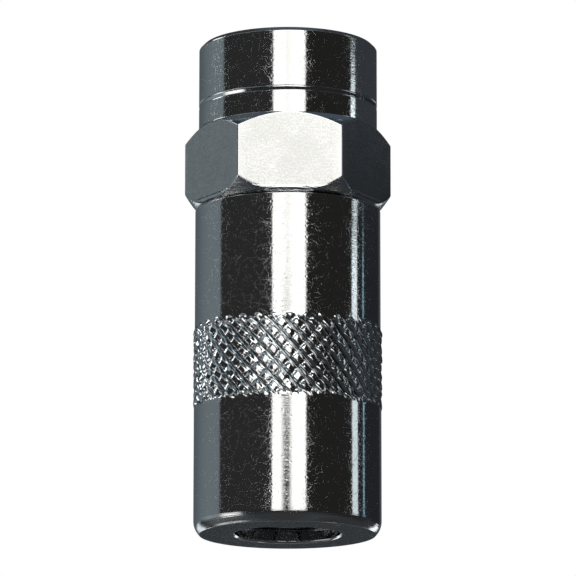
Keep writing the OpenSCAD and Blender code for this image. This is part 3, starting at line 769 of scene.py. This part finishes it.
# Body: a closed half section carried round the axis, in three stretches. The middle one is the hexagon, where
# the radius is the smaller of the flat's and the chamfer cones'
def buildInletBody():
    b = inletBody
    low, high = nodeBox("inlet_body")
    flat, top, tubeEnd = high[1], high[2], low[2]
    hexTop = top - b["collarHeight"]
    hexLowZ = hexTop - b["hexHeight"]
    spigotEnd = hexLowZ - b["spigotLength"]
    inletFloor = top - b["inletDepth"]
    floorDrop = (b["inlet"] - b["passage"]) / np.tan(np.radians(b["drillAngle"] / 2))
    seat = b["chamberTop"] + b["chamber"] - b["passage"]
    edge = b["edge"]
    # columns: evenly over each flat, and close together round each corner
    _, touch = hexRadius(np.zeros(1), flat, b["cornerRound"])
    flatAngles = np.linspace(-np.pi / 6 + 1.6 * touch, np.pi / 6 - 1.6 * touch, b["flatColumns"])
    cornerAngles = np.pi / 6 + np.linspace(-1.2, 1.2, b["cornerColumns"]) * touch
    sector = np.concatenate([flatAngles, cornerAngles])
    angle = (np.pi / 2 + sector[None, :] + np.arange(6)[:, None] * np.pi / 3).ravel()
    grooveZ = hexTop + b["groovePlace"]
    scribeZ = hexTop + b["scribePlace"]
    spigotStart, spigotTop = spigotEnd + b["spigotChamfer"], hexLowZ - b["reliefWidth"]
    inletEdge = top - b["inletChamfer"]
    spigotRows = int((spigotTop - spigotStart) / b["threadPitch"] * b["threadRows"])
    spigotHeights = np.linspace(spigotStart + 0.05, spigotTop - 0.05, spigotRows)
    inletRows = int((b["inletDepth"] - b["inletChamfer"]) / b["threadPitch"] * b["threadRows"])
    inletHeights = np.linspace(inletEdge - 0.05, inletFloor + 0.05, inletRows)
    below = [
        (b["pistonBore"] + b["tubeChamfer"], tubeEnd),
        (b["tube"] - b["tubeChamfer"], tubeEnd),
        (b["tube"], tubeEnd + b["tubeChamfer"]),
        (b["tube"], spigotEnd),
        (b["spigot"] - b["spigotChamfer"], spigotEnd),
        (b["spigot"], spigotStart),
        *straight(b["spigot"], spigotHeights),
        (b["spigot"], spigotTop),
        (b["relief"], spigotTop),
        (b["relief"], hexLowZ),
        (b["relief"] + 0.3, hexLowZ, 0),
    ]
    above = [
        (b["collar"], hexTop, 0),
        *straight(b["collar"], np.linspace(hexTop + 0.04, grooveZ - 0.3, 4)),
        (b["collar"], grooveZ, 0.02),
        (b["collar"] - b["grooveDepth"], grooveZ + 0.03, 0.03),
        (b["collar"], grooveZ + b["grooveWidth"], 0.06),
        (b["collar"], scribeZ - b["scribeWidth"] / 2, 0),
        (b["collar"] - b["scribeDepth"], scribeZ, 0.02),
        (b["collar"], scribeZ + b["scribeWidth"] / 2, 0),
        *straight(b["collar"], (scribeZ + 0.05, scribeZ + 0.08)),
        *straight(b["collar"], np.linspace(scribeZ + 0.5, top - 1, 3)),
        (b["collar"], top - b["collarChamfer"], 0.08),
        (b["collar"] - b["collarChamfer"], top, 0.06),
        (b["inlet"] + b["inletChamfer"], top),
        (b["inlet"], inletEdge),
        *straight(b["inlet"], inletHeights),
        (b["inlet"], inletFloor),
        (b["passage"], inletFloor - floorDrop),
        (b["passage"], seat),
        (b["chamber"], b["chamberTop"]),
        (b["chamber"], b["pistonBoreTop"]),
        (b["pistonBore"], b["pistonBoreTop"]),
        (b["pistonBore"], b["snapHigh"]),
        (b["snapGroove"], b["snapHigh"]),
        (b["snapGroove"], b["snapLow"]),
        (b["pistonBore"], b["snapLow"]),
        (b["pistonBore"], tubeEnd + b["tubeChamfer"]),
    ]
    section = roundedSection(below + above, edge)
    cut = 1 + int(np.flatnonzero((section[:, 0] == below[-1][0]) & (section[:, 1] == hexLowZ))[-1])
    columns = np.ones_like(angle)[None, :]
    lowRadius, lowHeight = section[:cut, 0, None] * columns, section[:cut, 1, None] * columns
    topRadius, topHeight = section[cut:, 0, None] * columns, section[cut:, 1, None] * columns
    # hexagon: rows follow the curved edges between the flats and the two chamfer cones, and a quarter circle
    # rounds the rim of the underside
    hexR, _ = hexRadius(angle - np.pi / 2, flat, b["cornerRound"])
    slope = 1 / np.tan(np.radians(b["hexLowAngle"]))
    width, lowWidth, rim = b["chamferRound"], b["lowChamferRound"], b["lowRound"]
    firstZ, lastZ = hexLowZ + rim, hexTop
    lowEdge = np.maximum(hexLowZ + (hexR - b["hexLow"]) * slope, firstZ + 1.6 * lowWidth)
    highEdge = np.minimum(hexTop - hexR + b["collar"], lastZ - 1.6 * width)
    near = np.array([-1.4, *np.linspace(-1, 1, 9), 1.4])[:, None]   # rows across a crease, in its widths
    coneUp = firstZ + (lowEdge - 1.5 * lowWidth - firstZ) * np.array([0.3, 0.7])[:, None]
    flatLow, flatHigh = lowEdge + 2 * lowWidth, highEdge - 2 * width
    flats = flatLow + (flatHigh - flatLow) * np.linspace(0, 1, 9)[:, None]
    coneDown = lastZ - (lastZ - highEdge - 1.5 * width) * np.array([0.7, 0.3, 0.04])[:, None]
    bend = np.radians(np.linspace(0, 90, 9))[:, None]
    rimHeight = hexLowZ + rim * (1 - np.cos(bend)) * columns
    hexHeight = np.concatenate(
        [rimHeight, coneUp, lowEdge + near * lowWidth, flats, highEdge + near * width, coneDown])
    cone = np.minimum(b["hexLow"] + (hexHeight - hexLowZ) / slope, b["collar"] + hexTop - hexHeight)
    crease = np.where(hexHeight < flatHigh, lowWidth, width)
    hexRows = smoothMin(hexR[None, :], cone, crease)
    hexRows[:len(bend)] -= rim * (1 - np.sin(bend))
    hexRows = np.where(hexHeight > highEdge - 2 * width, np.maximum(hexRows, b["collar"]), hexRows)
    radius = np.concatenate([lowRadius, hexRows, topRadius])
    height = np.concatenate([lowHeight, hexHeight, topHeight])
    # threads, into the spigot and out from the inlet's bore
    thread = threadGroove(height, angle, b["threadPitch"])
    onSpigot = np.abs(radius - b["spigot"]) < 0.01
    spigotFade = plateau(height, spigotStart, spigotStart + 0.3, spigotTop - 0.4, spigotTop)
    radius = np.where(onSpigot, radius - b["spigotThreadDepth"] * thread * spigotFade, radius)
    onInlet = (np.abs(radius - b["inlet"]) < 0.01) & (height > inletFloor + 0.01)
    inletFade = smoothStep(height, inletFloor + 0.2, inletFloor + 1.2)
    inletFade = inletFade * (1 - 0.6 * smoothStep(height, inletEdge - 0.4, inletEdge))
    radius = np.where(onInlet, radius + b["inletThreadDepth"] * thread * inletFade, radius)
    mesh = makeMesh("inlet_body_turned", turned(radius, height, angle[None, :]), gridCells(*radius.shape))
    onHex = np.concatenate([np.zeros_like(lowRadius), np.ones_like(hexRows), np.zeros_like(topRadius)])
    dull = onHex * plateau(height, lowEdge, lowEdge + lowWidth, highEdge - width, highEdge)
    nearCorner = smoothStep(np.abs(sector) / (np.pi / 6), *b["shineRange"])
    paint(mesh, "worn", dull * (1 - b["cornerShine"] * np.tile(nearCorner, 6)))
    paint(mesh, "cut", onHex * (1 - smoothStep(height, lowEdge - lowWidth, lowEdge)))
    makePiece("inlet_body_turned", mesh, bodyPlating, "body", "inlet_body")
    print("inlet body", len(mesh.polygons), "faces")


# Jaws

jaws = {
    "columns": 20,
    "slot": 0.5,
    "edge": 0.09,           # rounding of the outline
    "endRound": 0.07,       # rounding towards the slots
    "foot": 4.427,          # radius of the cone at the jaws' lower ends
    "lip": 2.55,
    "leadWidth": 1.0,
    "leadHeight": 0.8,
    "lipHeight": 0.6,
    "head": 3.5,
    "chamfer": 0.3,
    "coneAngle": 25,
    "ringInset": 0.95,
    "ringWire": 0.7,
    "touch": 0.05,
}


# A quarter of a turned ring: the section swings between two slot faces, each half a slot width from a
# diagonal plane, so the end angle at radius r is 45 degrees less asin(half slot / r)
def buildJaws():
    j = jaws
    low, high = nodeBox("jaw_1")
    bottom, top, outer = low[2], high[2], high[0]
    coneEnd = bottom + (outer - j["foot"]) / np.tan(np.radians(j["coneAngle"]))
    lipTop = bottom + j["leadHeight"] + j["lipHeight"]
    headZ = lipTop + j["head"] - j["lip"]
    ringZ = top - j["ringInset"]
    ringR = j["head"] + j["ringWire"] + 2 * j["touch"]
    ringHalf = j["ringWire"] / 2 + j["touch"]
    edge = j["edge"]
    section = roundedSection([
        (j["lip"] + j["leadWidth"], bottom),
        (j["foot"], bottom),
        (outer, coneEnd),
        (outer, top - j["chamfer"]),
        (outer - j["chamfer"], top),
        (j["head"], top),
        (j["head"], ringZ + ringHalf, 0.5 * edge),
        (ringR, ringZ + ringHalf),
        (ringR, ringZ - ringHalf),
        (j["head"], ringZ - ringHalf, 0.5 * edge),
        (j["head"], headZ),
        (j["lip"], lipTop),
        (j["lip"], bottom + j["leadHeight"]),
    ], edge)
    # inward direction of the section at each point, for the rounding towards the slots
    tangent = np.roll(section, -1, 0) - np.roll(section, 1, 0)
    tangent = tangent / np.linalg.norm(tangent, axis=1, keepdims=True)
    inward = np.stack([-tangent[:, 1], tangent[:, 0]], -1)
    bend = np.radians([0, 30, 60, 90])
    middle = np.zeros(j["columns"])
    inset = j["endRound"] * np.concatenate([1 - np.sin(bend), middle, 1 - np.sin(bend[::-1])])
    cutBack = j["endRound"] * np.concatenate([1 - np.cos(bend), middle, 1 - np.cos(bend[::-1])])
    ones = np.ones(len(bend))
    share = np.concatenate([-ones, np.linspace(-0.97, 0.97, j["columns"]), ones])
    radius = section[:, 0, None] + inward[:, 0, None] * inset
    height = section[:, 1, None] + inward[:, 1, None] * inset
    limit = np.pi / 4 - np.arcsin((j["slot"] / 2 + cutBack) / radius)
    around = share * limit
    faces = gridCells(*radius.shape, wrapColumns=False), endFaces(*radius.shape)
    for k, body in enumerate(("jaw_a", "jaw_b", "jaw_c", "jaw_d")):
        points = turned(radius, height, around + k * np.pi / 2)
        mesh = makeMesh(f"jaw_{k + 1}_ground", points, *faces)
        makePiece(f"jaw_{k + 1}_ground", mesh, hardSteel, body, f"jaw_{k + 1}")
    print("jaws", 4 * len(mesh.polygons), "faces")


# Turned small parts

smallParts = {
    "columns": 144,
    "beadSides": 24,
    "grease": 0.9,            # radius of the grease passage
    "cupBore": 2.3,
    "cupRound": 0.2,
    "cupLip": 1.7,
    "cupLipHeight": 0.5,
    "sealDish": 0.3,
    "sealRound": 0.1,
    "snug": 0.02,
    "room": 0.25,             # round the seal cup and the piston's stem
    "washerStep": 0.9,
    "washerRim": 4.8,
    "stem": 2.61,
    "shoulder": 14.313,
    "ringPlace": 16.313,      # height of the O-ring
    "ringSection": 0.82,
    "ringRoom": 0.05,
    "ringRoot": 2.49,
    "well": 1.75,
    "wellDepth": 0.8,
    "expanderOpening": 60,    # degrees
    "snapOpening": 40,
    "edge": 0.06,
}


# A closed section turned round the axis. An opening in degrees leaves out that part of the turn, on the +Y
# side, and closes its two ends
def turnedPiece(name, section, material, body, node, opening=0):
    rows, columns = len(section), smallParts["columns"]
    if opening:
        half = np.radians(opening) / 2
        angle = np.linspace(np.pi / 2 + half, np.pi * 5 / 2 - half, columns)
        faces = [gridCells(rows, columns, wrapColumns=False), endFaces(rows, columns)]
    else:
        angle = np.arange(columns) * 2 * np.pi / columns
        faces = [gridCells(rows, columns)]
    points = turned(section[:, 0, None], section[:, 1, None], angle[None, :])
    makePiece(name, makeMesh(name, points, *faces), material, body, node)


# A circle as a section: as high as a node, and out to its outer radius
def beadSection(low, high, outer):
    around = np.linspace(0, 2 * np.pi, smallParts["beadSides"], endpoint=False)
    half = (high[2] - low[2]) / 2
    return half * np.stack([np.cos(around), np.sin(around)], -1) + (outer - half, (high[2] + low[2]) / 2)


# Sections that start from the boxes of their nodes, so that the pieces fit the solids
def buildSmallParts():
    p = smallParts
    edge = p["edge"]
    low, high = nodeBox("seal_cup")
    cupLow, cupTop, cupOut = low[2], high[2], high[0]
    sealLow = cupLow + p["cupLipHeight"]
    turnedPiece("seal_cup_turned", roundedSection([
        (p["cupLip"], cupLow),
        (cupOut, cupLow, p["cupRound"]),
        (cupOut, cupTop),
        (p["cupBore"], cupTop),
        (p["cupBore"], sealLow),
        (p["cupLip"], sealLow),
    ], edge), hardSteel, "piston", "seal_cup")
    _, high = nodeBox("nipple_seal")
    turnedPiece("nipple_seal_moulded", roundedSection([
        (p["grease"], sealLow + p["sealDish"], p["sealRound"]),
        (p["cupLip"], sealLow),
        (high[0], sealLow),
        (high[0], high[2]),
        (p["grease"], high[2]),
    ], edge), sealRubber, "piston", "nipple_seal")
    low, high = nodeBox("thrust_washer")
    inner = cupOut + p["room"]
    step = low[2] + p["washerStep"]
    turnedPiece("thrust_washer_turned", roundedSection([
        (inner, low[2]),
        (high[0], low[2]),
        (high[0], step),
        (p["washerRim"], step),
        (p["washerRim"], high[2]),
        (inner, high[2]),
    ], edge), hardSteel, "jaw_pusher", "thrust_washer")
    low, high = nodeBox("seal_piston")
    grooveHalf = p["ringSection"] / 2 + p["ringRoom"]
    grooveLow, grooveHigh = p["ringPlace"] - grooveHalf, p["ringPlace"] + grooveHalf
    stemEnd = p["cupBore"] - p["snug"]
    turnedPiece("seal_piston_turned", roundedSection([
        (p["grease"], low[2]),
        (stemEnd, low[2]),
        (stemEnd, cupTop + p["snug"]),
        (p["stem"], cupTop + p["snug"]),
        (p["stem"], p["shoulder"]),
        (high[0], p["shoulder"]),
        (high[0], grooveLow),
        (p["ringRoot"], grooveLow),
        (p["ringRoot"], grooveHigh),
        (high[0], grooveHigh),
        (high[0], high[2]),
        (p["well"], high[2]),
        (p["well"], high[2] - p["wellDepth"]),
        (p["grease"], high[2] - p["wellDepth"]),
    ], edge), pistonBrass, "piston", "seal_piston")
    low, high = nodeBox("piston_o_ring")
    turnedPiece("piston_o_ring_moulded", beadSection(low, high, high[0]),
                sealRubber, "piston", "piston_o_ring")
    low, high = nodeBox("jaw_expander_ring")
    turnedPiece("jaw_expander_ring_bent", beadSection(low, high, -low[1]),
                springSteel, "jaw_pusher", "jaw_expander_ring", p["expanderOpening"])
    low, high = nodeBox("piston_snap_ring")
    outer, inner = -low[1], p["stem"] + p["room"]
    turnedPiece("piston_snap_ring_stamped", roundedSection([
        (inner, low[2]),
        (outer, low[2]),
        (outer, high[2]),
        (inner, high[2]),
    ], edge), springSteel, "body", "piston_snap_ring", p["snapOpening"])
    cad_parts["check_ball"].data.materials.clear()
    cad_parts["check_ball"].data.materials.append(ballSteel)
    print("small parts ready")


# Springs

springs = {
    "sides": 20,
    "perTurn": 48,
    "jawWire": 1.0,
    "jawTurns": 6.5,
    "jawTravel": 1.8,
    "checkWire": 0.4,
    "checkTurns": 5.5,
    "checkTravel": 1.5,
    "closedPitch": 1.08,      # pitch of the end turns, in wires
}


# A wire circle carried along a helix: the climb is slow over the first and the last turn, and even between
# them
def buildSpring(name, node, wire, turns, body):
    low, high = nodeBox(node)
    mean = high[0] - wire / 2
    span = high[2] - low[2] - wire
    turn = np.linspace(0, turns, int(turns * springs["perTurn"]) + 1)
    closed = springs["closedPitch"] * wire
    climb = np.interp(turn, [0, 1, turns - 1, turns], [0, closed, span - closed, span])
    around = np.linspace(0, 2 * np.pi, springs["sides"], endpoint=False)
    radius = mean + wire / 2 * np.cos(around)[:, None]
    height = low[2] + wire / 2 + climb[None, :] + wire / 2 * np.sin(around)[:, None]
    points = turned(radius, height, 2 * np.pi * turn[None, :])
    shape = len(around), len(turn)
    mesh = makeMesh(name, points, gridCells(*shape, wrapColumns=False), endFaces(*shape))
    spring = makePiece(name, mesh, springSteel, body, node)
    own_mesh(spring)
    print(name, len(mesh.polygons), "faces")


buildNoseSleeve()
buildInletBody()
buildJaws()
buildSmallParts()
buildSpring("jaw_spring_wound", "jaw_spring", springs["jawWire"], springs["jawTurns"],
            "spring_pack")
buildSpring("check_spring_wound", "check_spring", springs["checkWire"], springs["checkTurns"],
            "piston")


# Studio

studio = {
    "domeRadius": 1.2,        # metres
    "domeHeight": 20,         # of its middle, in millimetres
    "domeColumns": 720,
    "domeRows": 721,
    "floorSize": 2.0,
    "floorDrop": 0.00005,
    "floorColor": (0.90, 0.90, 0.89),
    "floorRoughness": 0.9,
    "floorSpecular": 0.1,
    "base": (0.034, 0.038, 0.042),
    "lampPower": 0.6,
    "lampSize": 0.5,
    "lampPlace": (-0.35, -0.45, 0.75),
}

# What the plating mirrors: panels given by the middle and half width of their azimuth, counted from the
# camera's side towards +X, their lowest and highest elevation, the softness of their sides and ends, in
# degrees, and their colour. A last value leans a panel: its rise for each degree of azimuth
panels = [
    ("sky", 0, 181, 66, 91, 6, 6, (0.068, 0.088, 0.108)),
    ("floor, front", 0, 40, -80, -32, 25, 8, (0.036, 0.039, 0.042)),
    ("floor, right", 50, 24, -80, -30, 12, 8, (0.044, 0.049, 0.055)),
    ("floor, far right", 80, 20, -60, -44, 12, 5, (0.030, 0.032, 0.035)),
    ("floor, left", -82, 28, -80, -40, 12, 6, (0.050, 0.058, 0.068)),
    ("floor, near left", -92, 32, -40, -18, 14, 4, (0.095, 0.100, 0.104)),
    ("floor, back", 180, 34, -80, -27, 10, 4, (0.34, 0.36, 0.38)),
    ("front, low", 30, 85, -26, -8, 12, 5, (0.019, 0.019, 0.020)),
    ("left, high", -95, 35, 44, 70, 10, 6, (0.080, 0.100, 0.120)),
    ("top light", 36, 16, 59, 67, 5, 2, (1.0, 1.13, 1.2)),
    ("left ceiling", -64, 26, 33, 48, 6, 4, (0.36, 0.43, 0.47)),
    ("left window", -107, 9.5, 17.6, 37, 3, 1.2, (2.4, 2.58, 2.65)),
    ("left wall", -135, 46, -6, 17.4, 2, 1.2, (0.150, 0.182, 0.200)),
    ("left wall, far", -175, 38, -3, 17.4, 26, 1.2, (0.085, 0.105, 0.120)),
    ("left flag", -56.5, 35, -12, 30, 1.5, 3, (0.025, 0.0245, 0.0245)),
    ("low lamp, tail", -99, 24, -16.7, -4.2, 12, 2, (0.24, 0.27, 0.30), -0.19),
    ("low lamp", -75, 14, -21.2, -8.7, 6, 2, (1.35, 1.35, 1.33), -0.19),
    ("low window", -109, 18, -52, -46, 10, 2, (0.8, 0.8, 0.8), -0.55),
    ("back light, left", -152, 10, -24, -4.5, 7, 2, (0.80, 0.88, 0.93)),
    ("mouth light", -148, 6, -32, -24.5, 2, 1, (1.7, 1.78, 1.82), -1.16),
    ("mouth light, right", 120, 8, -67, -58, 4, 2, (0.6, 0.57, 0.52)),
    ("right flag", 55, 35, -12, 60, 1.5, 4, (0.0165, 0.016, 0.0155)),
    ("right wall", 125, 32, -8, 60, 8, 4, (0.0165, 0.0185, 0.0215)),
    ("right wall, high", 135, 44, 13.4, 60, 5, 0.3, (0.036, 0.042, 0.049)),
    ("back light, right", 151, 7, -24, -4.5, 3, 2, (1.15, 1.20, 1.22)),
    ("right sparkle", 88, 5, 20, 36, 3, 3, (0.80, 0.91, 0.96)),
    ("right, high", 95, 35, 44, 70, 10, 6, (0.073, 0.098, 0.131)),
    ("right strip", 90.9, 4.4, -6, 12.45, 0.9, 0.2, (1.08, 1.22, 1.27)),
    ("right strip, low", 90.9, 4.4, -6, 10.6, 0.9, 0.3, (0.74, 0.84, 0.88)),
    ("right strip, high", 93, 4.0, 13.3, 14.92, 0.6, 0.08, (1.25, 1.40, 1.46)),
    ("blue line", 107.3, 1.2, -6, 12.45, 0.6, 0.2, (0.30, 0.48, 0.58)),
    ("front softbox", 1.7, 20.7, -11, 40, 1.2, 3, (1.36, 1.36, 1.34)),
    ("upper softbox", -23, 9, 34, 50, 4, 4, (1.0, 1.1, 1.15)),
    ("softbox top", 5, 16, 21, 41, 3, 3, (3.2, 3.36, 3.42)),
    ("softbox middle", -0.2, 3.6, 11.5, 20, 3, 0.8, (1.22, 1.22, 1.19)),
    ("lens", -1.2, 4.8, -14, 10.4, 3.6, 1.6, (0.05, 0.055, 0.05)),
]


# Tone of the dome at each azimuth and elevation: the base, with each panel laid over the ones before it
def domeTone(azimuth, elevation):
    tone = np.ones((*np.broadcast(azimuth, elevation).shape, 3)) * studio["base"]
    for _, middle, half, lowest, highest, softSide, softEnd, color, *lean in panels:
        away = (azimuth - middle + 180) % 360 - 180
        level = elevation - sum(lean) * away
        share = 1 - smoothStep(np.abs(away), half - softSide, half + softSide)
        limits = lowest - softEnd, lowest + softEnd, highest - softEnd, highest + softEnd
        share = share * plateau(level, *limits)
        tone = tone + (np.array(color) - tone) * share[..., None]
    return tone


# Dome of panels round the object that only mirror rays see; it lights nothing and throws no shadow
def buildDome():
    azimuth = np.linspace(-180, 180, studio["domeColumns"], endpoint=False)[None, :]
    elevation = np.linspace(-90, 90, studio["domeRows"])[:, None]
    away, up = np.radians(azimuth + camera["azimuth"]), np.radians(elevation)
    reach = studio["domeRadius"] / mm
    x, y = reach * np.cos(up) * np.sin(away), -reach * np.cos(up) * np.cos(away)
    z = reach * np.sin(up) + studio["domeHeight"]
    points = np.stack(np.broadcast_arrays(x, y, z), -1).reshape(-1, 3)
    cells = gridCells(studio["domeRows"], studio["domeColumns"], wrapRows=False)
    mesh = makeMesh("studio_dome", points, cells)
    tone = domeTone(azimuth, elevation).reshape(-1, 3)
    color = np.concatenate([tone, np.ones((len(tone), 1))], 1)
    layer = mesh.attributes.new("tone", "FLOAT_COLOR", "POINT")
    layer.data.foreach_set("color", color.astype(np.float32).ravel())
    material, tree, _ = newMaterial("studioDome")
    tree.nodes.clear()
    painted = addNode(tree, "Attribute", {"attribute_name": "tone"})
    glow = addNode(tree, "Emission", Color=painted.outputs["Color"])
    addNode(tree, "OutputMaterial", Surface=glow.outputs[0])
    material.cycles.emission_sampling = "NONE"
    dome = addObject("studio_dome", mesh, material)
    for ray in ("camera", "diffuse", "transmission", "volume_scatter", "shadow"):
        setattr(dome, "visible_" + ray, False)


# Pale floor under the nose. Its lower side lets the camera's rays through, because the photograph looks up
def buildFloor():
    half = studio["floorSize"] / 2 / mm
    drop = -studio["floorDrop"] / mm
    points = np.array([(-half, -half, drop), (half, -half, drop), (half, half, drop), (-half, half, drop)])
    mesh = makeMesh("studio_floor", points, np.array([[0, 1, 2, 3]]))
    material, tree, shader = newMaterial("paleFloor")
    shader.inputs["Base Color"].default_value = (*studio["floorColor"], 1)
    shader.inputs["Roughness"].default_value = studio["floorRoughness"]
    shader.inputs["Specular IOR Level"].default_value = studio["floorSpecular"]
    below = addNode(tree, "NewGeometry").outputs["Backfacing"]
    clear = addNode(tree, "BsdfTransparent").outputs[0]
    mixed = addNode(tree, "MixShader", i0=below, i1=shader.outputs[0], i2=clear)
    tree.links.new(mixed.outputs[0], tree.nodes["Material Output"].inputs[0])
    floor = addObject("studio_floor", mesh, material)
    floor.visible_glossy = False
    floor.visible_shadow = False


# White world, and a soft lamp that the plating doesn't mirror
def buildLight():
    world = bpy.data.worlds.new("whiteStudio")
    bpy.context.scene.world = world
    world.use_nodes = True
    background = world.node_tree.nodes["Background"]
    background.inputs["Color"].default_value = (1, 1, 1, 1)
    background.inputs["Strength"].default_value = 1
    lamp = bpy.data.lights.new("softLamp", "AREA")
    lamp.energy = studio["lampPower"]
    lamp.size = studio["lampSize"]
    holder = bpy.data.objects.new("softLamp", lamp)
    holder.location = studio["lampPlace"]
    holder.rotation_euler = (-Vector(studio["lampPlace"])).to_track_quat("-Z", "Y").to_euler()
    holder.visible_glossy = False
    bpy.context.scene.collection.objects.link(holder)


# Camera below the object, looking up at it from the front
camera = {
    "azimuth": -1.25,         # degrees from the middle of a flat, towards +X
    "elevation": -11.8,
    "distance": 431,          # millimetres
    "aim": (0.02, 0, 20.91),
    "roll": 0.07,             # degrees
    "focal": 5152,            # pixels
    "frame": 576,             # pixels across the picture
    "sensor": 36,
    "clip": (0.01, 10),       # metres
}


def buildCamera():
    lens = bpy.data.cameras.new("photoCamera")
    lens.sensor_width = camera["sensor"]
    lens.lens = camera["focal"] * camera["sensor"] / camera["frame"]
    lens.clip_start, lens.clip_end = camera["clip"]
    holder = bpy.data.objects.new("photoCamera", lens)
    bpy.context.scene.collection.objects.link(holder)
    aim = Vector(camera["aim"])
    turn, rise = math.radians(camera["azimuth"]), math.radians(camera["elevation"])
    level = math.cos(rise)
    back = Vector((level * math.sin(turn), -level * math.cos(turn), math.sin(rise))) * camera["distance"]
    holder.location = (aim + back) * mm
    lean = Quaternion((0, 0, 1), math.radians(camera["roll"]))
    holder.rotation_euler = ((-back).to_track_quat("-Z", "Y") @ lean).to_euler()
    bpy.context.scene.camera = holder


buildDome()
buildFloor()
buildLight()
buildCamera()
bpy.context.scene.view_settings.view_transform = "Standard"
print("studio ready")
